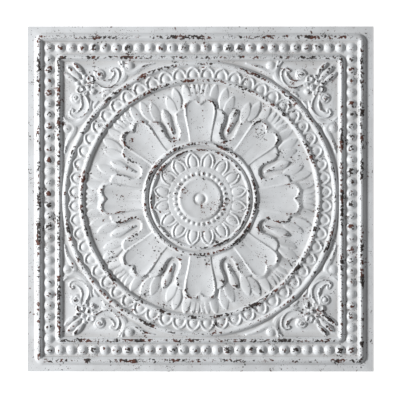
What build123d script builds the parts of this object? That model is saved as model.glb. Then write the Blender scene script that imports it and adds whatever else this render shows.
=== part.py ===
"""Thermoformed PVC ceiling tile for a 2 ft grid, face up, in millimetres.

The tile is one thin sheet. Its face carries two square ridges with a row of
beads between them, corner scrolls, and a round medallion. The ridges, the two
big rings, hub and big petals are hollow behind, and the rest is solid.

Frame: +Z is out of the decorated face, the origin is the centre of the
sheet's back plane.
"""

from build123d import *
import os
from math import atan, cos, degrees, hypot, pi, radians, sin, sqrt, tan

# Sheet
sheet_side = 603.0
sheet_thickness = 0.8
flange_width = 12.4
cut_depth = 1.0  # how far a hollow's cutting solid starts below the back

# Square frame: half width and height of each ridge, inwards from the flange
outer_ridge_size = (7.1, 6.8)
inner_ridge_size = (5.9, 5.8)
ridge_spacing = 35.6  # between the two crests
bead_spacing = 19.5  # rounded to a whole number of beads a side
bead_radius = 9.0
bead_crown_radius = 4.2
bead_height = 5.2
bead_facets = 6

# Medallion rings: radius of the crest, half width, height
border_ring = (236.3, 5.8, 6.6)
dish_ring = (207.6, 5.7, 6.4)
outer_hub_ring = (97.0, 5.0, 6.2)
inner_hub_ring = (85.8, 3.6, 4.6)

# Eggs between the two big rings, on a floor that stands above the dish
egg_floor_rise = 1.2
egg_count = 56
egg_half_width = 9.8
egg_tip = 229.5
egg_rise = 2.6

# Hub: boss in a groove, dished disc with a lip, small beads, a step, pointed petals
boss_radius = 8.0
boss_rise = 4.0
groove_radius = 9.8
groove_rise = 1.0
disc_rise = 3.2
lip_radius = 35.4
lip_rise = 4.6
disc_radius = 39.3
step_radius = 57.0
step_rise = 1.7
small_bead_count = 30
small_bead_line = 44.2
small_bead_radius = 3.6
small_bead_height = 2.8
pointed_petal_count = 16
pointed_petal_rise = 2.6

# Big petals with a dished face, each with a wing on both sides and a fan of feathers behind
petal_count = 8
petal_rise = 5.8
petal_dish_rise = 1.8
wing_rise = 3.2
fan_rise = 2.8
leaf_rise = 2.4

# Corner ornaments, drawn for an inner ridge with its crest this far out and moved with it
corner_drawn_for = 246.4
bud_rise = 4.2
flower_rise = 3.4
scroll_rise = 3.8
scroll_band = 8.5
volute_radius = 8.2
ball_radius = 6.4
tail_rise = 2.8

face = sheet_thickness
outer_crest = sheet_side / 2 - flange_width - outer_ridge_size[0]
outer_ridge = (outer_crest, *outer_ridge_size)
inner_ridge = (outer_crest - ridge_spacing, *inner_ridge_size)
corner_shift = inner_ridge[0] - corner_drawn_for
bead_line = (outer_ridge[0] - outer_ridge[1] + inner_ridge[0] + inner_ridge[1]) / 2
beads_per_side = round(2 * bead_line / bead_spacing) + 1
bead_pitch = 2 * bead_line / (beads_per_side - 1)
petal_base = outer_hub_ring[0] + outer_hub_ring[1] + 0.4
egg_base = dish_ring[0] + dish_ring[1] + 0.2


def half_round(ridge, skin):
    """Section of a half-round ridge, or of the hollow behind it when skin is the sheet's thickness."""
    crest, half_width, height = ridge
    radius = (half_width**2 + height**2) / (2 * height)
    centre_z = face + height - radius
    base_z = face if skin == 0 else 0.0
    floor = 0.0 if skin == 0 else -cut_depth
    foot = sqrt((radius - skin) ** 2 - (base_z - centre_z) ** 2)
    with BuildSketch(Plane.XZ) as section:
        with BuildLine():
            ThreePointArc((crest - foot, base_z), (crest, face + height - skin), (crest + foot, base_z))
            Polyline((crest + foot, base_z), (crest + foot, floor), (crest - foot, floor), (crest - foot, base_z))
        make_face()
    return section.sketch


def ring_section(ring, skin):
    """Section of a ring with sloping sides, or of the hollow behind it when skin is the sheet's thickness."""
    crest, half_width, height = ring
    slope = height / half_width
    stretch = sqrt(1 + slope**2)
    foot = half_width - skin * (stretch - 1) / slope
    floor = 0.0 if skin == 0 else -cut_depth
    with BuildSketch(Plane.XZ) as section:
        with BuildLine():
            Polyline(
                (crest - foot, floor),
                (crest - foot, face - skin),
                (crest, face + height - skin * stretch),
                (crest + foot, face - skin),
                (crest + foot, floor),
                close=True,
            )
        make_face()
    return section.sketch


def square_ridge(ridge, skin):
    """Ridge carried round a square with mitred corners."""
    crest = ridge[0]
    with BuildPart() as solid:
        with BuildLine() as path:
            Polyline((crest, 0), (crest, crest), (-crest, crest), (-crest, -crest), (crest, -crest), close=True)
        add(half_round(ridge, skin))
        sweep(path=path.wire(), transition=Transition.RIGHT)
    return solid.part


def turned_ring(ring, skin):
    """Ring turned about Z."""
    with BuildPart() as solid:
        add(ring_section(ring, skin))
        revolve(axis=Axis.Z)
    return solid.part


def inset_outline(outline, inset):
    """Anticlockwise outline drawn in by the same distance on every side."""
    moved = []
    for i, (x, y) in enumerate(outline):
        (ax, ay), (bx, by) = outline[i - 1], outline[(i + 1) % len(outline)]
        before, after = hypot(x - ax, y - ay), hypot(bx - x, by - y)
        px, py = (ay - y) / before, (x - ax) / before
        qx, qy = (y - by) / after, (bx - x) / after
        reach = inset / (1 + px * qx + py * qy)
        moved.append((x + (px + qx) * reach, y + (py + qy) * reach))
    return moved


def pad(outline, rise, taper=30, base_z=face):
    """Raised pad with sloping sides over a closed outline, listed anticlockwise."""
    with BuildPart() as solid:
        for z, inset in ((base_z, 0), (base_z + rise, rise * tan(radians(taper)))):
            with BuildSketch(Plane.XY.offset(z)):
                with BuildLine():
                    Polyline(*inset_outline(outline, inset), close=True)
                make_face()
        loft(ruled=True)
    return solid.part


def mirrored_outline(half):
    """Closed outline from its right half, listed from the bottom up, mirrored about the Y axis."""
    return half + [(-x, y) for x, y in reversed(half) if x != 0]


def dome(radius, crown_radius, height, facets, base_z=face):
    """Low faceted dome with a flat crown."""
    taper = degrees(atan((radius - crown_radius) * cos(pi / facets) / height))
    with BuildPart() as solid:
        with BuildSketch(Plane.XY.offset(base_z)):
            RegularPolygon(radius, facets)
        extrude(amount=height, taper=taper)
    return solid.part


def turned(profile, floor):
    """Solid turned about Z from a profile of radius and height, closed down to the floor."""
    with BuildPart() as solid:
        with BuildSketch(Plane.XZ):
            with BuildLine():
                Polyline((0, floor), *profile, (profile[-1][0], floor), close=True)
            make_face()
        revolve(axis=Axis.Z)
    return solid.part


def strip(centreline, width):
    """Closed outline of a band that follows a centreline and keeps its width."""
    left, right = [], []
    last = len(centreline) - 1
    for i, (x, y) in enumerate(centreline):
        before = centreline[max(i - 1, 0)]
        after = centreline[min(i + 1, last)]
        dx, dy = after[0] - before[0], after[1] - before[1]
        reach = width / 2 / sqrt(dx * dx + dy * dy)
        left.append((x - dy * reach, y + dx * reach))
        right.append((x + dy * reach, y - dx * reach))
    return right + left[::-1]


# Frame
side_positions = [-bead_line + i * bead_pitch for i in range(beads_per_side)]
bead_places = [(x, y) for y in (-bead_line, bead_line) for x in side_positions]
bead_places += [(x, y) for x in (-bead_line, bead_line) for y in side_positions[1:-1]]
bead = dome(bead_radius, bead_crown_radius, bead_height, bead_facets)

# Egg, drawn at the top of the band
egg = pad(
    mirrored_outline([(egg_half_width, egg_base), (egg_half_width, egg_base + 8), (0, egg_tip)]),
    egg_rise,
    base_z=face + egg_floor_rise,
)

# Hub
hub = turned(
    [
        (0, face + boss_rise),
        (boss_radius / 2, face + boss_rise),
        (boss_radius, face + groove_rise),
        (groove_radius, face + groove_rise),
        (groove_radius + 4, face + disc_rise),
        (lip_radius - 4, face + disc_rise),
        (lip_radius, face + lip_rise),
        (disc_radius, face + step_rise),
        (step_radius - 1, face + step_rise),
        (step_radius, face),
    ],
    0,
)
hub_hollow = turned([(0, groove_rise), (groove_radius, groove_rise), (groove_radius + 4, disc_rise), (lip_radius, disc_rise)], -cut_depth)
small_bead = dome(small_bead_radius, small_bead_radius / 2, small_bead_height, 5, base_z=face + step_rise)
pointed_petal = pad(mirrored_outline([(7, step_radius + 1), (11.5, 67), (0, 81.8)]), pointed_petal_rise)

# Big petal pointing along +Y, its two wings, fan and the leaf between it and the next
petal = pad(
    mirrored_outline(
        [(19, petal_base), (28, 140), (29.5, 156), (26.5, 166), (20, 173.5), (12, 176), (0, 170)]
    ),
    petal_rise,
    taper=35,
)
petal_dish = pad(
    mirrored_outline([(11, petal_base + 8), (18, 150), (9, 166)]),
    petal_rise - petal_dish_rise,
    taper=-35,
    base_z=face + petal_dish_rise,
)
petal_hollow = pad(
    mirrored_outline([(14, petal_base + 4), (20, 150), (11, 165)]),
    cut_depth + petal_dish_rise,
    taper=25,
    base_z=-cut_depth,
)
joint_angle = radians(90 - 180 / petal_count)
slot_bottom = 113
wing = pad(
    [
        (petal_base * cos(joint_angle), petal_base * sin(joint_angle)),
        (slot_bottom * cos(joint_angle), slot_bottom * sin(joint_angle)),
        (37.5, 109),
        (36.5, 119),
        (42, 131),
        (45, 143),
        (37, 156),
        (26, 156),
        (15, petal_base),
    ],
    wing_rise,
    taper=20,
)
fan = pad(
    mirrored_outline(
        [
            (22, 163),
            (56, 158),
            (59, 178),
            (49, 177),
            (46.5, 191.5),
            (34, 186),
            (27, 198.5),
            (18, 190),
            (11, 198.5),
            (0, 192),
        ]
    ),
    fan_rise,
    taper=20,
)
leaf = pad(mirrored_outline([(2.5, 120), (5.5, 136), (9.5, 157), (6, 165), (0, 168.5)]), leaf_rise)

# Corner ornament in the +X +Y corner; the twin of each side piece lies across the diagonal
diagonal = 45
bud_centre = 221 * sqrt(2)
bud = pad(mirrored_outline([(0, -16), (10, -10), (13.5, 1), (8, 12), (0, 17)]), bud_rise)
flower = dome(17.5, 11, flower_rise, 8)
flower_eye = dome(6, 3.5, 1.6, 6, base_z=face + flower_rise)
ball = dome(ball_radius, ball_radius / 2, 4, 6)
volute = dome(volute_radius, volute_radius / 2, 4, 6)
scroll_line = [(172, 205), (161, 202), (150.5, 207), (145.5, 218), (151, 225)]
scroll = pad(strip(scroll_line, scroll_band), scroll_rise)
leaf_line = [(160, 192), (144, 200), (132, 214), (139, 236)]
scroll_leaf = pad(strip(leaf_line, 6), tail_rise)
tail = pad([(84, 240), (84, 236), (103, 227), (122, 219), (132, 226), (131, 240)], tail_rise, taper=20)
side_ball = dome(7.5, 3.8, 1.6, 6, base_z=face + tail_rise)
palm_leaf = pad([(160, 186), (169, 174), (175, 181), (168, 189)], tail_rise)


def corner_pair(piece, x=0.0, y=0.0):
    """A corner piece and its twin across the diagonal, in all four corners."""
    one = Pos(x + corner_shift, y + corner_shift) * piece
    twin = one.mirror(Plane((0, 0, 0), z_dir=(1, -1, 0)))
    return [Rot(0, 0, 90 * k) * each for k in range(4) for each in (one, twin)]


def corner_single(piece, reach):
    """A piece on the diagonal at the given distance from the centre, in all four corners."""
    return [Rot(0, 0, diagonal - 90 + 90 * k) * Pos(0, reach + corner_shift * sqrt(2)) * piece for k in range(4)]


corner_pieces = corner_single(bud, bud_centre)
corner_pieces += corner_single(flower, 200 * sqrt(2)) + corner_single(flower_eye, 200 * sqrt(2))
corner_pieces += corner_single(ball, 186.5 * sqrt(2))
corner_pieces += corner_pair(volute, 178, 216) + corner_pair(scroll) + corner_pair(scroll_leaf)
corner_pieces += corner_pair(tail) + corner_pair(side_ball, 124, 232) + corner_pair(palm_leaf)

ridges = (outer_ridge, inner_ridge)
big_rings = (border_ring, dish_ring)
rings = big_rings + (outer_hub_ring, inner_hub_ring)

with BuildPart() as tile:
    with BuildSketch():
        Rectangle(sheet_side, sheet_side)
    extrude(amount=sheet_thickness)

    # Ornament on the face
    with BuildSketch(Plane.XY.offset(face)):
        Circle(border_ring[0])
        Circle(dish_ring[0], mode=Mode.SUBTRACT)
    extrude(amount=egg_floor_rise)
    add([square_ridge(ridge, 0) for ridge in ridges] + [turned_ring(ring, 0) for ring in rings])
    with Locations(*bead_places):
        add(bead)
    with PolarLocations(0, egg_count, start_angle=180 / egg_count):
        add(egg)
    add(hub)
    with PolarLocations(small_bead_line, small_bead_count):
        add(small_bead)
    with PolarLocations(0, pointed_petal_count, start_angle=180 / pointed_petal_count):
        add(pointed_petal)
    with PolarLocations(0, petal_count):
        add([wing, wing.mirror(Plane.YZ), fan])
    with PolarLocations(0, petal_count):
        add(petal)
    with PolarLocations(0, petal_count):
        add(petal_dish, mode=Mode.SUBTRACT)
    with PolarLocations(0, petal_count, start_angle=180 / petal_count):
        add(leaf)
    add(corner_pieces)

    # Hollows behind the ridges, big rings, hub and big petals
    add(
        [square_ridge(ridge, sheet_thickness) for ridge in ridges]
        + [turned_ring(ring, sheet_thickness) for ring in big_rings]
        + [hub_hollow],
        mode=Mode.SUBTRACT,
    )
    with PolarLocations(0, petal_count):
        add(petal_hollow, mode=Mode.SUBTRACT)

tile.part.label = "tile"
os.makedirs("parts", exist_ok=True)
export_step(tile.part, "parts/tile.step")
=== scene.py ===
# Embossed square ceiling tile, lying face up on a pale floor, seen from straight above.
# The whole tile is one sheet: its face is a height worked out over the plane and given the sheet's thickness.
import math
import bpy
import numpy as np
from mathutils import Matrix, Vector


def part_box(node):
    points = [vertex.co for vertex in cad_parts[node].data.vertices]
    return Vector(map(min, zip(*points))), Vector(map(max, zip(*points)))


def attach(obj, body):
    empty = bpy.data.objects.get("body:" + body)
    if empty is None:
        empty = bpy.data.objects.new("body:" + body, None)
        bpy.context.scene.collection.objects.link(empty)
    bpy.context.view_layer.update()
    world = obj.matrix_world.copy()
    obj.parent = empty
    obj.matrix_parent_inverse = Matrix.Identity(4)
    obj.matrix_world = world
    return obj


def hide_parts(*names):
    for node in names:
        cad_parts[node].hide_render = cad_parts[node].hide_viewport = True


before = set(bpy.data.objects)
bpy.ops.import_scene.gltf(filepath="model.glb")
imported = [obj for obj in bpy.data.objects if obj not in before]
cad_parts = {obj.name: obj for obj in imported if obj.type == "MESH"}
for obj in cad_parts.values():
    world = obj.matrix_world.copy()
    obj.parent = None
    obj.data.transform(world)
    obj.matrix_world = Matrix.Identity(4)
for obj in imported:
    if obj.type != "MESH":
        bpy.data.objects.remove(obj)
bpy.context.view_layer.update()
tileLow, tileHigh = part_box("tile")
print("frame loaded")

mm = 0.001
tiny = 1e-6  # keeps a share finite where two lines meet

sheet = {
    "side": tileHigh.x - tileLow.x,
    "thickness": 0.8 * mm,
    "gridStep": 0.75 * mm,  # spacing of the height samples before they are thinned
    "faceTriangles": 96000,  # what thinning leaves on the face
    "softening": 0.75 * mm,  # how far the forming rounds every corner
    "hardEdge": 60,  # degrees, past which an edge is shaded as a sharp one
}


# cap: rounded ridge or dome, height * (1 - (d / half width)^2)^bulge, and 0 past the half width
def cap(d, halfWidth, height, bulge=0.7):
    return height * np.clip(1 - (d / halfWidth) ** 2, 0, 1) ** bulge


# dome: cap over an oval that is long in u
def dome(u, v, middle, halfLength, halfWidth, height):
    return cap(np.hypot((u - middle * mm) / halfLength, v / halfWidth) / mm, 1, height * mm)


# step: 0 to 1 as d goes from start to end, with level ends (3t^2 - 2t^3)
def step(d, start, end):
    t = np.clip((d - start) / (end - start), 0, 1)
    return t * t * (3 - 2 * t)


# rounded: 0 at an edge and 1 from the given depth inside it on, (1 - (1 - inside / depth)^2)^0.6
def rounded(inside, depth):
    return (1 - (1 - np.clip(inside / depth, 0, 1)) ** 2) ** 0.6


# ramp: value at a share of the way through a list of values that are equally far apart
def ramp(share, values):
    return np.interp(share, np.linspace(0, 1, len(values)), values)


# curve: cubic through the given points (Catmull-Rom), each span cut into equal shares
def curve(points, shares=6):
    p = np.array(points, float) * mm
    p = np.vstack([2 * p[0] - p[1], p, 2 * p[-1] - p[-2]])
    t = np.linspace(0, 1, shares, endpoint=False)[None, :, None]
    a, b, c, d = (p[i : len(p) - 3 + i, None, :] for i in range(4))
    spans = 0.5 * (2 * b + (c - a) * t + (2 * a - 5 * b + 4 * c - d) * t**2 + (3 * b - a - 3 * c + d) * t**3)
    return np.vstack([spans.reshape(-1, 2), p[-2]])


# nearest: distance from (u, v) to a path of short runs, and the share of the path's length at the nearest point
def nearest(u, v, path):
    runs = path[1:] - path[:-1]
    lengths = np.hypot(runs[:, 0], runs[:, 1])
    reached = np.concatenate([[0], np.cumsum(lengths)])
    best = np.full(u.shape, np.inf)
    share = np.zeros(u.shape)
    for i, run in enumerate(runs):
        du, dv = u - path[i, 0], v - path[i, 1]
        t = np.clip((du * run[0] + dv * run[1]) / lengths[i] ** 2, 0, 1)
        d = np.hypot(du - t * run[0], dv - t * run[1])
        closer = d < best
        best = np.where(closer, d, best)
        share = np.where(closer, (reached[i] + t * lengths[i]) / reached[-1], share)
    return best, share


# within: whether (u, v) with v not below 0 is inside a half outline and its mirror image across the axis v = 0,
# found by closing the half just past the axis and counting the sides that a line along u crosses
def within(u, v, halfOutline):
    past = -1 * mm
    outline = np.vstack([halfOutline, [[halfOutline[-1, 0], past], [halfOutline[0, 0], past]]])
    count = np.zeros(u.shape, int)
    for (au, av), (bu, bv) in zip(outline, np.roll(outline, -1, axis=0)):
        if av != bv:
            crossed = (v >= min(av, bv)) & (v < max(av, bv))
            count += crossed & (u < au + (v - av) * (bu - au) / (bv - av))
    return count % 2 == 1


# spoke: turns the plane so that the nearest of count spokes lies along u; v is the distance from its line
def spoke(x, y, count, half=False):
    pitch = 2 * math.pi / count
    angle = np.arctan2(y, x) - (pitch / 2 if half else 0)
    angle = angle - np.round(angle / pitch) * pitch
    r = np.hypot(x, y)
    return r * np.cos(angle), np.abs(r * np.sin(angle))


# squareDistance: distance outside a square of the given half side, negative inside it; its lines turn round the
# square's corners in arcs
def squareDistance(x, y, half):
    dx, dy = np.abs(x) - half, np.abs(y) - half
    return np.hypot(np.maximum(dx, 0), np.maximum(dy, 0)) + np.minimum(np.maximum(dx, dy), 0)


# pointed: leaf between a tip and a root, edges at half width * (1 - a^2)^0.75 for a from -1 at the root to 1
# at the tip, rounded off over a share of the half width, the shoulder; lean lifts the side with the smaller v
# and lowers the other, each by that share of the height at the edge
def pointed(u, v, tipU, tipV, rootU, rootV, halfWidth, height, shoulder=0.45, lean=0.0):
    runU, runV = (tipU - rootU) * mm, (tipV - rootV) * mm
    length = math.hypot(runU, runV)
    fromU, fromV = u - (tipU + rootU) / 2 * mm, v - (tipV + rootV) / 2 * mm
    along = (fromU * runU + fromV * runV) / length
    across = (fromV * runU - fromU * runV) / length
    edge = halfWidth * mm * (1 - np.clip(2 * along / length, -1, 1) ** 2) ** 0.75
    tilt = 1 - lean - lean * np.clip(across / (halfWidth * mm), -1, 1)
    return height * mm * tilt * rounded(edge - np.abs(across), halfWidth * mm * shoulder)


border = {
    # inner foot, widths inside and outside the crest, height
    "outerRidge": (274.8 * mm, 5.4 * mm, 9.2 * mm, 6.7 * mm),
    "innerRidge": (240.2 * mm, 5.6 * mm, 7.2 * mm, 6.4 * mm),
    "insidePower": 1.5,  # lower is a straighter slope
    "outsideBulge": 0.9,
    "beadPitch": 19.55 * mm,
    "beadsFromMiddle": 14,
    "beadRadius": 9.0 * mm,
    "beadHeight": 5.3 * mm,
    "beadBulge": 0.9,
}


# frameRelief: two ridges round the square, and domes on a square row between them. With t from -1 at a ridge's
# inner foot through 0 at its crest to 1 at its outer foot, it stands height * (1 - |t|^power) inside the crest
# and height * (1 - t^2)^bulge outside it
def frameRelief(x, y):
    h = np.zeros(x.shape)
    power, bulge = border["insidePower"], border["outsideBulge"]
    for foot, inside, outside, height in (border["outerRidge"], border["innerRidge"]):
        d = squareDistance(x, y, foot) - inside
        t = np.clip(np.where(d < 0, d / inside, d / outside), -1, 1)
        h = np.maximum(h, height * np.where(t < 0, 1 - np.abs(t) ** power, (1 - t * t) ** bulge))
    pitch = border["beadPitch"]
    line = (border["beadsFromMiddle"] - 0.5) * pitch
    nearX = np.minimum((np.floor(np.abs(x) / pitch) + 0.5) * pitch, line)
    nearY = np.minimum((np.floor(np.abs(y) / pitch) + 0.5) * pitch, line)
    toSideBead = np.hypot(np.abs(x) - line, np.abs(y) - nearY)
    toTopBead = np.hypot(np.abs(x) - nearX, np.abs(y) - line)
    toBead = np.minimum(toSideBead, toTopBead)
    return np.maximum(h, cap(toBead, border["beadRadius"], border["beadHeight"], border["beadBulge"]))


rings = {
    "border": (236.3 * mm, 5.8 * mm, 6.4 * mm),  # crest radius, half width, height
    "dish": (207.6 * mm, 5.8 * mm, 6.3 * mm),
    "outerHub": (97.0 * mm, 5.2 * mm, 6.4 * mm),
    "innerHub": (85.8 * mm, 3.8 * mm, 4.8 * mm),
    "hubFloor": 0.5 * mm,
    "eggFloor": 1.2 * mm,
    "eggFloorRises": (207 * mm, 209 * mm),  # radii between which the eggs' floor comes up and goes down
    "eggFloorFalls": (235 * mm, 237 * mm),
}

eggs = {  # outlines are (out from the middle, sideways) in millimetres for one that points along an axis
    "count": 56,
    "edge": [(208, 10.9), (214, 11.2), (219.5, 10.5), (224.6, 7.9), (228, 4.1), (229.6, 0)],
    "rimOffset": 0.3 * mm,
    "rimHalfWidth": 1.8 * mm,
    "rimHeight": 2.9 * mm,
    "bud": (216.6, 8.2, 6.9, 2.9),  # middle, half length, half width, height
}


# ringRelief: round ridges on stepped floors, and eggs in the band between the two big ones
def ringRelief(x, y):
    r = np.hypot(x, y)
    h = rings["eggFloor"] * step(r, *rings["eggFloorRises"]) * (1 - step(r, *rings["eggFloorFalls"]))
    band = (r > rings["dish"][0]) & (r < rings["border"][0])
    u, v = spoke(x[band], y[band], eggs["count"], half=True)
    away, _ = nearest(u, v, curve(eggs["edge"], 4))
    rim = cap(away - eggs["rimOffset"], eggs["rimHalfWidth"], eggs["rimHeight"])
    h[band] += np.maximum(rim, dome(u, v, *eggs["bud"]))
    for name in ("border", "dish", "outerHub", "innerHub"):
        crest, halfWidth, height = rings[name]
        h = np.maximum(h, cap(r - crest, halfWidth, height))
    return h


hub = {
    "profile": [  # radius, height, from the middle out
        (0, 4.4), (3.5, 4.2), (6.4, 3.2), (8.6, 0.8), (10.0, 0.8), (12.0, 2.9), (15, 3.3), (24, 3.2),
        (31, 3.5), (34.8, 4.6), (37.2, 3.8), (39.4, 1.2), (47.5, 1.4), (55.4, 2.3), (57.0, 0.5),
    ],
    "reach": 86 * mm,
    "beadCount": 30,
    "beadLine": 44.2 * mm,
    "beadRadius": 3.9 * mm,
    "beadHeight": 3.0 * mm,
    "petalCount": 16,
    "petalEdge": [(55, 9.2), (60, 10.0), (66, 10.4), (71.5, 9.2), (76.4, 6.3), (80.2, 2.9), (81.8, 0)],
    "petalStarts": (56 * mm, 58 * mm),  # radii between which the petals come up
    "petalRimOffset": 0.2 * mm,
    "petalRimHalfWidth": 1.7 * mm,
    "petalRimHeight": 2.8 * mm,
    "petalBud": (65.2, 12.6, 7.0, 2.6),  # middle, half length, half width, height
}


# hubRelief: turned profile, a row of small domes and pointed arches with a bud in each
def hubRelief(x, y):
    r = np.hypot(x, y)
    h = np.zeros(x.shape)
    zone = r < hub["reach"]
    px, py, r = x[zone], y[zone], r[zone]
    radii, heights = np.array(hub["profile"]).T * mm
    turned = np.where(r < radii[-1], np.interp(r, radii, heights), rings["hubFloor"])
    u, v = spoke(px, py, hub["beadCount"])
    turned += cap(np.hypot(u - hub["beadLine"], v), hub["beadRadius"], hub["beadHeight"])
    u, v = spoke(px, py, hub["petalCount"], half=True)
    away, _ = nearest(u, v, curve(hub["petalEdge"], 4))
    rim = cap(away - hub["petalRimOffset"], hub["petalRimHalfWidth"], hub["petalRimHeight"])
    middle, halfLength, halfWidth, height = hub["petalBud"]
    bud = pointed(u, v, middle + halfLength, 0, middle - halfLength, 0, halfWidth, height)
    arches = np.maximum(rim, bud) * step(r, *hub["petalStarts"])
    h[zone] = np.maximum(turned, rings["hubFloor"] + arches)
    return h


petals = {  # lines and edges are (out from the middle, sideways) in millimetres
    "count": 8,
    "band": (96 * mm, 204 * mm),
    "lipLine": [
        (96, 17.7), (103, 18.2), (110, 19), (120, 20.5), (132, 22.8), (145, 25.2), (156, 26.6), (163, 25.8),
        (169, 22.3), (172.6, 17), (173.2, 12), (171.6, 7), (168.3, 2.6), (166, 0),
    ],
    "lipHalfWidths": [1.6, 1.8, 2.2, 2.8, 3.2, 2.8],  # along the line, in equal shares
    "lipHeights": [3.4, 3.8, 4.4, 5.6, 6.0, 5.2],
    "lipBulge": 0.8,
    "skirtWidths": [2.0, 2.4, 3.0, 4.4, 9.5, 12.0],  # outside the lip
    "skirtPower": 1.15,
    "floorPlaces": [100, 140, 168],  # near the hub, in the middle and at the tip
    "floors": [2.0, 1.7, 1.7],
    "fold": 1.5 * mm,  # how much higher the floor is at the sides than along the middle
    "foldHalfWidth": 22 * mm,
    "foldPower": 1.4,
    "wingEdge": [
        (158, 24), (157.6, 33), (154, 40), (149, 43.5), (143, 44.2), (136, 43.2), (129, 40.8), (121, 37.3),
        (114.5, 36.2), (108.5, 38), (104, 42.5), (100.5, 48), (94, 54),
    ],
    "wingStarts": (92 * mm, 114 * mm),  # radii between which the scoops' rims come up
    "wingHeights": (6.0 * mm, 1.1 * mm),  # along the outer rim, and beside the lip
    "wingRounding": 3.4 * mm,
    "feathers": [  # tip and root of each, half width
        (180, 58.6, 143, 42, 8.2),
        (194, 46.0, 154, 36, 8.2),
        (201, 27.9, 164, 20.5, 7.4),
        (201, 13.9, 170, 11.0, 5.2),
        (201, 4.9, 172, 4.2, 4.4),
    ],
    "featherHeight": 3.0 * mm,
    "featherShoulder": 0.2,
    "featherLean": 0.34,  # share of the height lost or gained from the middle line to an edge
    "arch": (160, 24, 25),  # middle, half length, half width
    "archEdge": (0.8, 1.0),  # shares of the arch between which its floor meets the feathers
    "archFloor": 1.0 * mm,
    "leafEdge": [
        (121, 0), (123, 1.5), (130, 3.0), (141, 5.2), (150, 7.2), (156, 7.8), (162, 6.2), (167, 2.8), (170, 0),
    ],
    "leafHeight": 3.9 * mm,
    "leafHalfWidth": 8 * mm,
    "leafSlope": 0.5,  # share of the height lost from the middle line to the half width
    "leafRounding": 1.6 * mm,
}


# featherRelief: each feather leans and lies over the one nearer the petal's middle, and an even floor closes
# the arch before them
def featherRelief(u, v):
    h = np.zeros(u.shape)
    height = petals["featherHeight"] / mm
    shoulder, lean = petals["featherShoulder"], petals["featherLean"]
    for feather in reversed(petals["feathers"]):
        blade = pointed(u, v, *feather, height, shoulder, lean)
        h = np.where(blade > 0, blade, h)
    middle, halfLength, halfWidth = petals["arch"]
    arch = np.hypot(v / halfWidth, (u - middle * mm) / halfLength) / mm
    floor = petals["archFloor"]
    return np.where(arch < 1, floor + (h - floor) * step(arch, *petals["archEdge"]), h)


# scoopRelief: rises evenly from the lip to its own rim, is rounded over the rim and sinks towards the hub
def scoopRelief(r, onLip, onWing):
    rimHeight, lowHeight = petals["wingHeights"]
    rise = onLip / (onLip + onWing + tiny) * step(r, *petals["wingStarts"])
    return (lowHeight + (rimHeight - lowHeight) * rise) * rounded(onWing, petals["wingRounding"])


# leafRelief: low roof with steep edges, height * (1 - slope * v / half width), rounded off at the edge
def leafRelief(u, v):
    edge = curve(petals["leafEdge"], 4)
    away, _ = nearest(u, v, edge)
    inside = np.where(within(u, v, edge), away, -away)
    roof = petals["leafHeight"] * (1 - petals["leafSlope"] * v / petals["leafHalfWidth"])
    return roof * rounded(inside, petals["leafRounding"])


# petalRelief: heart-ended petals with a raised lip, a scoop on each side, a leaf in each gap, feathers behind.
# The lip is a cap over a folded floor inside its line, and height * (1 - d / skirt)^power outside it
def petalRelief(x, y):
    r = np.hypot(x, y)
    start, end = petals["band"]
    zone = (r > start) & (r < end)
    px, py, r = x[zone], y[zone], r[zone]
    u, v = spoke(px, py, petals["count"])
    wingEdge, lipLine = curve(petals["wingEdge"]), curve(petals["lipLine"])
    onWing, _ = nearest(u, v, wingEdge)
    onLip, share = nearest(u, v, lipLine)
    h = np.where(within(u, v, wingEdge), scoopRelief(r, onLip, onWing), featherRelief(u, v))

    lipHeight = ramp(share, petals["lipHeights"]) * mm
    lipHalf = ramp(share, petals["lipHalfWidths"]) * mm
    skirt = ramp(share, petals["skirtWidths"]) * mm
    floor = np.interp(u, np.array(petals["floorPlaces"]) * mm, np.array(petals["floors"]) * mm)
    floor = floor + petals["fold"] * (v / petals["foldHalfWidth"]) ** petals["foldPower"]
    bowl = floor + cap(onLip, lipHalf, lipHeight - floor, petals["lipBulge"])
    outside = lipHeight * np.clip(1 - onLip / skirt, 0, 1) ** petals["skirtPower"]
    h = np.where(within(u, v, lipLine), bowl, np.maximum(h, outside))

    out = np.zeros(x.shape)
    out[zone] = np.maximum(h, leafRelief(*spoke(px, py, petals["count"], half=True)))
    return out


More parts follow.
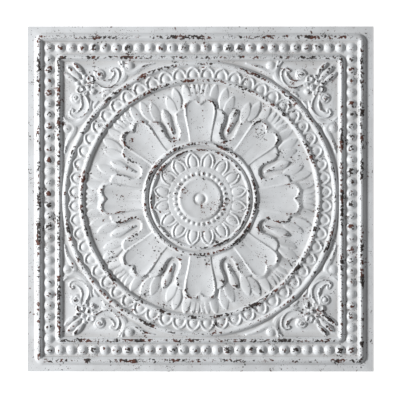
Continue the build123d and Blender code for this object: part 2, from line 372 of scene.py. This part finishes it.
corners = {  # (x, y) in millimetres, in the corner's upper half; the lower half mirrors it across the diagonal
    "leastRadius": 240 * mm,
    "span": (60 * mm, 243 * mm),  # lowest and highest coordinate
    "budLeaf": (232, 232, 208, 208, 5.8, 4.8),  # tip, root, half width, height
    "budSide": (221.5, 238.5, 203.5, 216, 4.8, 4.8),
    "balls": [  # centre, radius, height
        (204.5, 204.5, 4.8, 4.2), (195.5, 195.5, 5.4, 5.0), (186.3, 188, 5.2, 4.6), (202, 214, 5.0, 4.8),
        (123.5, 232.0, 8.6, 4.6),
    ],
    "lobes": [(191.0, 209.5, 7.6, 4.8), (184.5, 200.5, 5.0, 4.0)],
    "lobeRimHalfWidth": 2.4,
    "lobeFloor": 0.5,  # share of the height
    "volute": (176.4, 216.8, 10.4, 5.8),
    "voluteGroove": (4.8, 1.4, 2.8),  # radius, half width, depth
    "voluteDrift": 1.6,  # how far the groove moves in or out over half a turn
    "scroll": [
        (186, 207), (176, 203.5), (165, 200.5), (155, 203), (148.5, 210), (146, 218), (149, 225), (155, 224),
    ],
    "scrollHalfWidths": [3.0, 6.6, 8.4, 7.6, 5.4, 3.0],
    "scrollHeight": 4.4 * mm,
    "scrollRim": (0.78, 0.26),  # place and half width, as shares of the scroll's half width
    "scrollTrough": 0.34,  # share of the height
    "leaves": [  # line, half widths along it, height
        (
            [(170, 190), (158, 192.5), (146, 199), (136, 208), (131, 219), (135, 230), (142, 239)],
            [2.0, 5.4, 6.4, 5.8, 1.6],
            3.6,
        ),
        (
            [(137, 241), (132.5, 227), (124, 220), (114, 223), (103, 229.5), (92, 234), (80, 237)],
            [2.0, 5.4, 5.6, 3.6, 1.0],
            3.4,
        ),
        ([(158, 186), (164, 184.5), (170, 179)], [1.6, 4.6, 1.8], 3.2),
        ([(190, 193), (188, 199), (184, 206)], [1.8, 3.0, 1.2], 3.6),
    ],
    "leafVeins": (0.82, 0.18, 1.7 * mm),  # level, swing and half a wave of the veins across a leaf
}


# cornerRelief: bud, balls, ringed lobes, volutes, scrolls and leaves, mirrored across the diagonal
def cornerRelief(x, y):
    r = np.hypot(x, y)
    low, high = np.minimum(x, y), np.maximum(x, y)
    lowest, highest = corners["span"]
    zone = (r > corners["leastRadius"]) & (low > lowest) & (high < highest)
    low, high = low[zone], high[zone]

    def fromPoint(cx, cy):
        return np.hypot(low - cx * mm, high - cy * mm)

    h = np.maximum(pointed(low, high, *corners["budLeaf"]), pointed(low, high, *corners["budSide"]))
    for cx, cy, radius, height in corners["balls"]:
        h = np.maximum(h, cap(fromPoint(cx, cy), radius * mm, height * mm))

    # a lobe is a round rim with a lower floor inside it
    rimHalf = corners["lobeRimHalfWidth"]
    for cx, cy, radius, height in corners["lobes"]:
        d, rimLine = fromPoint(cx, cy), (radius - rimHalf) * mm
        h = np.maximum(h, cap(d - rimLine, rimHalf * mm, height * mm))
        h = np.maximum(h, np.where(d < rimLine, corners["lobeFloor"] * height * mm, 0))

    # the volute is a dome with one turn of a groove cut in it, that drifts in towards the centre
    cx, cy, radius, height = corners["volute"]
    grooveRadius, grooveHalf, grooveDepth = corners["voluteGroove"]
    turn = np.arctan2(high - cy * mm, low - cx * mm) / math.pi
    d = fromPoint(cx, cy)
    away = d - (grooveRadius + corners["voluteDrift"] * turn) * mm
    h = np.maximum(h, cap(d, radius * mm, height * mm) - cap(away, grooveHalf * mm, grooveDepth * mm))

    # the scroll is a band with two thin rims and a wide trough between them
    d, share = nearest(low, high, curve(corners["scroll"]))
    width = ramp(share, corners["scrollHalfWidths"]) * mm
    rimPlace, rimHalf = corners["scrollRim"]
    rim = cap((d - rimPlace * width) / (rimHalf * width), 1, corners["scrollHeight"])
    trough = np.where(d < rimPlace * width, corners["scrollTrough"] * corners["scrollHeight"], 0)
    h = np.maximum(h, np.maximum(rim, trough))

    level, swing, halfWave = corners["leafVeins"]
    for path, widths, height in corners["leaves"]:
        d, share = nearest(low, high, curve(path))
        width = ramp(share, widths) * mm
        h = np.maximum(h, cap(d / width, 1, height * mm) * (level + swing * np.cos(d / halfWave * math.pi)))

    out = np.zeros(x.shape)
    out[zone] = h
    return out


# soften: smooths a field with a bell-shaped weight, first along one side of the grid and then along the other
def soften(field, spread):
    reach = int(math.ceil(3 * spread))
    offsets = np.arange(-reach, reach + 1)
    weights = np.exp(-0.5 * (offsets / spread) ** 2)
    weights /= weights.sum()
    for axis in (0, 1):
        padded = np.pad(field, [(reach, reach) if a == axis else (0, 0) for a in (0, 1)], mode="reflect")
        size = field.shape[axis]
        field = sum(w * np.take(padded, range(i, i + size), axis=axis) for i, w in enumerate(weights))
    return field


# tileHeight: highest of the five reliefs over one quarter, mirrored into the other three and softened
def tileHeight():
    half = sheet["side"] / 2
    count = int(round(half / sheet["gridStep"]))
    line = np.linspace(0, half, count + 1)
    x, y = np.meshgrid(line, line, indexing="ij")
    h = np.zeros(x.shape)
    for relief in (frameRelief, ringRelief, hubRelief, petalRelief, cornerRelief):
        h = np.maximum(h, relief(x, y))
    h = np.concatenate([h[:0:-1], h])
    h = np.concatenate([h[:, :0:-1], h], axis=1)
    line = np.concatenate([-line[:0:-1], line])
    return line, soften(h, sheet["softening"] / sheet["gridStep"])


# gridMesh: one point at (line i, line j, height ij) for each crossing of the grid, a square between each four
def gridMesh(name, line, height):
    n = len(line)
    x, y = np.meshgrid(line, line, indexing="ij")
    points = np.stack([x, y, height], axis=-1).reshape(-1, 3)
    corner = (np.arange(n - 1)[:, None] * n + np.arange(n - 1)[None, :]).ravel()
    quads = np.stack([corner, corner + n, corner + n + 1, corner + 1], axis=-1)
    mesh = bpy.data.meshes.new(name)
    mesh.vertices.add(len(points))
    mesh.vertices.foreach_set("co", points.ravel().astype(np.float32))
    mesh.loops.add(quads.size)
    mesh.loops.foreach_set("vertex_index", quads.ravel().astype(np.int32))
    mesh.polygons.add(len(quads))
    mesh.polygons.foreach_set("loop_start", np.arange(0, quads.size, 4, dtype=np.int32))
    mesh.update(calc_edges=True)
    mesh.validate()
    return mesh


# workIn: gives the object its mesh with its modifiers worked in
def workIn(piece):
    shown = piece.evaluated_get(bpy.context.evaluated_depsgraph_get())
    mesh = bpy.data.meshes.new_from_object(shown)
    piece.modifiers.clear()
    old = piece.data
    piece.data = mesh
    bpy.data.meshes.remove(old)


# levelBack: z = max(z, 0), as thickening along the normals puts some points of the back a hair below its plane
def levelBack(mesh):
    co = np.empty(len(mesh.vertices) * 3, np.float32)
    mesh.vertices.foreach_get("co", co)
    co[2::3] = np.maximum(co[2::3], 0)
    mesh.vertices.foreach_set("co", co)


line, relief = tileHeight()
print("relief worked out,", len(line), "points a side, highest", round(float(relief.max()) / mm, 2), "mm")

tile = bpy.data.objects.new("embossed_tile", gridMesh("embossed_tile", line, relief + sheet["thickness"]))
bpy.context.collection.objects.link(tile)
thin = tile.modifiers.new("thin", "DECIMATE")
thin.ratio = sheet["faceTriangles"] / (2 * (len(line) - 1) ** 2)
workIn(tile)
print("face thinned to", len(tile.data.polygons), "triangles")
wall = tile.modifiers.new("wall", "SOLIDIFY")
wall.thickness = sheet["thickness"]
wall.offset = -1
wall.use_even_offset = False
workIn(tile)
levelBack(tile.data)
print("sheet is", len(tile.data.polygons), "polygons")

wearAndShade = {
    "surroundings": 4.2 * mm,  # how far around a point its height is compared with
    "fullCrest": 2.6 * mm,  # how far above them counts as 1
    "faceFrom": 0.4,  # share of the sheet's thickness above which a point is on the face
}


# markWearAndShade: two attributes, how far each point stands above its surroundings, and whether it is on the
# face; the first places paint wear on the crests and painted shade in the hollows
def markWearAndShade(mesh, line, relief):
    co = np.empty(len(mesh.vertices) * 3, np.float32)
    mesh.vertices.foreach_get("co", co)
    co = co.reshape(-1, 3)
    spacing = line[1] - line[0]
    i = np.clip(np.round((co[:, 0] - line[0]) / spacing).astype(int), 0, len(line) - 1)
    j = np.clip(np.round((co[:, 1] - line[0]) / spacing).astype(int), 0, len(line) - 1)
    around = soften(relief, wearAndShade["surroundings"] / spacing)
    crest = (relief - around)[i, j] / wearAndShade["fullCrest"]
    onFace = co[:, 2] > relief[i, j] + wearAndShade["faceFrom"] * sheet["thickness"]
    for name, values in (("crest", crest), ("face", onFace)):
        layer = mesh.attributes.new(name, "FLOAT", "POINT")
        layer.data.foreach_set("value", values.astype(np.float32))


markWearAndShade(tile.data, line, relief)
tile.data.polygons.foreach_set("use_smooth", np.ones(len(tile.data.polygons), bool))
tile.data.set_sharp_from_angle(angle=math.radians(sheet["hardEdge"]))

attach(tile, "root")
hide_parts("tile")


class Wire:
    # one socket of a node, so that sums and products of sockets are written as plain expressions
    def __init__(self, tree, socket=None):
        self.tree = tree
        self.socket = socket

    # a node of any kind: its settings, which of its outputs is meant, and the values or wires of its inputs
    def node(self, kind, settings=None, out=0, **values):
        made = self.tree.nodes.new(kind)
        for key, value in (settings or {}).items():
            setattr(made, key, value)
        for key, value in values.items():
            number = key[1:]
            socket = made.inputs[int(number)] if number.isdigit() else made.inputs[key.replace("_", " ")]
            if isinstance(value, Wire):
                self.tree.links.new(value.socket, socket)
            else:
                socket.default_value = value
        return Wire(self.tree, made.outputs[out])

    def into(self, socket):
        self.tree.links.new(self.socket, socket)

    def maths(self, operation, a, b):
        return self.node("ShaderNodeMath", {"operation": operation}, i0=a, i1=b)

    def __add__(self, other):
        return self.maths("ADD", self, other)

    def __radd__(self, other):
        return self.maths("ADD", other, self)

    def __sub__(self, other):
        return self.maths("SUBTRACT", self, other)

    def __rsub__(self, other):
        return self.maths("SUBTRACT", other, self)

    def __mul__(self, other):
        return self.maths("MULTIPLY", self, other)

    def __rmul__(self, other):
        return self.maths("MULTIPLY", other, self)

    def between(self, low, high):  # 0 below low, 1 above high, smooth between
        smooth = {"interpolation_type": "SMOOTHSTEP"}
        return self.node("ShaderNodeMapRange", smooth, Value=self, From_Min=low, From_Max=high)


def newMaterial(name):
    material = bpy.data.materials.new(name)
    material.use_nodes = True
    return material, material.node_tree, material.node_tree.nodes["Principled BSDF"]


paint = {
    "colour": (0.72, 0.74, 0.76, 1),
    "worn": (0.60, 0.61, 0.62, 1),
    # dirt and painted shade, a darker colour laid into the hollows below their surroundings
    "grimeAndShade": (0.36, 0.34, 0.32, 1),
    "under": (0.035, 0.028, 0.026, 1),
    "rust": (0.105, 0.038, 0.026, 1),
    "back": (0.55, 0.56, 0.57, 1),
    "wornScale": 18.0,
    "wornEdge": (0.35, 0.75),  # noise values between which one colour gives way to the other
    "grimeAndShadeEdge": (0.2, 0.8),  # how deep a hollow lies below its surroundings
    "grimeAndShadeShare": 0.4,
    "proudEdge": (0.2, 0.62),  # crest values between which paint begins to go
    "chipScale": 240.0,
    "chipPatchScale": 34.0,
    "chipPatches": 0.8,  # how much chips keep together in patches
    "chipOnCrests": 0.17,  # how much more paint goes where the relief stands proud
    "chipEdge": (0.7, 0.715),
    "speckScale": 560.0,
    "speckPatchScale": 50.0,
    "speckPatches": 0.45,
    "speckOnCrests": 0.04,
    "speckEdge": (0.695, 0.72),
    "rustScale": 60.0,
    "rustEdge": (0.5, 0.62),
    "roughness": 0.42,
    "roughnessScale": 90.0,
    "roughnessSwing": 0.12,
    "chipRoughness": 0.7,
    "grainScales": (900.0, 220.0),
    "grainHeights": (0.35, 0.5),
    "chipDepth": 0.9,
    "bumpStrength": 0.35,
    "bumpDistance": 0.4 * mm,
}


def paintedPvc():
    material, tree, shader = newMaterial("distressed_paint_with_painted_shade")
    start = Wire(tree)
    place = start.node("ShaderNodeTexCoord", out="Object")
    crest = start.node("ShaderNodeAttribute", {"attribute_name": "crest"}, out="Fac")
    face = start.node("ShaderNodeAttribute", {"attribute_name": "face"}, out="Fac")

    def noise(scale, detail=3.0, roughness=0.55):
        sockets = {"Vector": place, "Scale": scale, "Detail": detail, "Roughness": roughness}
        return start.node("ShaderNodeTexNoise", {"noise_dimensions": "3D"}, **sockets)

    def mix(factor, a, b):
        return start.node("ShaderNodeMix", {"data_type": "RGBA"}, out=2, i0=factor, i6=a, i7=b)

    # paint is lost where the relief stands proud and the noises agree
    proud = crest.between(*paint["proudEdge"])
    chipPatches = (noise(paint["chipPatchScale"]) - 0.5) * paint["chipPatches"]
    chips = noise(paint["chipScale"]) + chipPatches + proud * paint["chipOnCrests"]
    speckPatches = (noise(paint["speckPatchScale"], 2.0) - 0.5) * paint["speckPatches"]
    specks = noise(paint["speckScale"], 2.0, 0.5) + speckPatches + proud * paint["speckOnCrests"]
    bare = start.maths("MAXIMUM", chips.between(*paint["chipEdge"]), specks.between(*paint["speckEdge"])) * face

    # faded paint, with dirt and painted shade darkening the hollows, and what is under it where it is gone
    faded = noise(paint["wornScale"], 4.0, 0.6).between(*paint["wornEdge"])
    ground = mix(faded, paint["colour"], paint["worn"])
    # painted shade and dirt: the deeper a point lies below its surroundings, the more of the darker hollow
    # colour covers it
    grimeAndShadeMask = (0 - crest).between(*paint["grimeAndShadeEdge"]) * paint["grimeAndShadeShare"]
    ground = mix(face, paint["back"], mix(grimeAndShadeMask, ground, paint["grimeAndShade"]))
    rusty = noise(paint["rustScale"], 2.0).between(*paint["rustEdge"])
    mix(bare, ground, mix(rusty, paint["under"], paint["rust"])).into(shader.inputs["Base Color"])

    rougher = paint["chipRoughness"] - paint["roughness"]
    roughness = paint["roughness"] + noise(paint["roughnessScale"]) * paint["roughnessSwing"] + bare * rougher
    roughness.into(shader.inputs["Roughness"])

    fineScale, coarseScale = paint["grainScales"]
    fine, coarse = paint["grainHeights"]
    grain = noise(fineScale, 3.0, 0.6) * fine + noise(coarseScale, 3.0, 0.6) * coarse
    sockets = {"Strength": paint["bumpStrength"], "Distance": paint["bumpDistance"]}
    bump = start.node("ShaderNodeBump", Height=grain - bare * paint["chipDepth"], **sockets)
    bump.into(shader.inputs["Normal"])
    return material


tile.data.materials.clear()
tile.data.materials.append(paintedPvc())
print("paint made")

studio = {
    "floorHalf": 6.0,
    "floorDrop": 0.5 * mm,  # how far the floor lies below the tile's back
    "floorColour": (0.9, 0.9, 0.9, 1),
    "floorRoughness": 0.9,
    "floorGlow": 0.5,  # seen by the camera alone
    "skyStrength": 0.2,
    "keyAzimuth": 178,  # degrees
    "keyElevation": 33,
    "keyDistance": 5.5,
    "keySize": 1.12,
    "keyPower": 394,
}


def makeFloor():
    s = studio["floorHalf"]
    mesh = bpy.data.meshes.new("floor")
    mesh.from_pydata([(-s, -s, 0), (s, -s, 0), (s, s, 0), (-s, s, 0)], [], [(0, 1, 2, 3)])
    floor = bpy.data.objects.new("floor", mesh)
    floor.location.z = -studio["floorDrop"]
    bpy.context.collection.objects.link(floor)
    material, tree, shader = newMaterial("floor")
    shader.inputs["Base Color"].default_value = studio["floorColour"]
    shader.inputs["Roughness"].default_value = studio["floorRoughness"]
    # the camera alone sees the floor lifted to white, and the tile's shadow stays on it
    Wire(tree).node("ShaderNodeLightPath", out="Is Camera Ray").into(shader.inputs["Emission Color"])
    shader.inputs["Emission Strength"].default_value = studio["floorGlow"]
    mesh.materials.append(material)


def makeSky():
    world = bpy.data.worlds.new("studio")
    bpy.context.scene.world = world
    world.use_nodes = True
    background = world.node_tree.nodes["Background"]
    background.inputs["Color"].default_value = (1, 1, 1, 1)
    background.inputs["Strength"].default_value = studio["skyStrength"]


def makeKeyLamp():
    data = bpy.data.lights.new("key", "AREA")
    data.shape = "DISK"
    data.size = studio["keySize"]
    data.energy = studio["keyPower"]
    lamp = bpy.data.objects.new("key", data)
    a, e = math.radians(studio["keyAzimuth"]), math.radians(studio["keyElevation"])
    towards = np.array([math.cos(a) * math.cos(e), math.sin(a) * math.cos(e), math.sin(e)])
    lamp.location = towards * studio["keyDistance"]
    lamp.rotation_euler = (math.pi / 2 - e, 0, a + math.pi / 2)
    bpy.context.collection.objects.link(lamp)


view = {
    "width": 0.7268,  # what the view spans at the sheet's back
    "centre": (0.0135, -0.0158),
    "lens": 150,
    "sensorWidth": 36,
    "clipEnd": 50,
}


def makeCamera():
    data = bpy.data.cameras.new("camera")
    data.sensor_fit = "HORIZONTAL"
    data.sensor_width = view["sensorWidth"]
    data.lens = view["lens"]
    data.clip_end = view["clipEnd"]
    camera = bpy.data.objects.new("camera", data)
    camera.location = (*view["centre"], view["width"] * data.lens / data.sensor_width)
    bpy.context.collection.objects.link(camera)
    bpy.context.scene.camera = camera


makeFloor()
makeSky()
makeKeyLamp()
makeCamera()
bpy.context.scene.view_settings.view_transform = "Standard"
print("stage, lights and camera set")
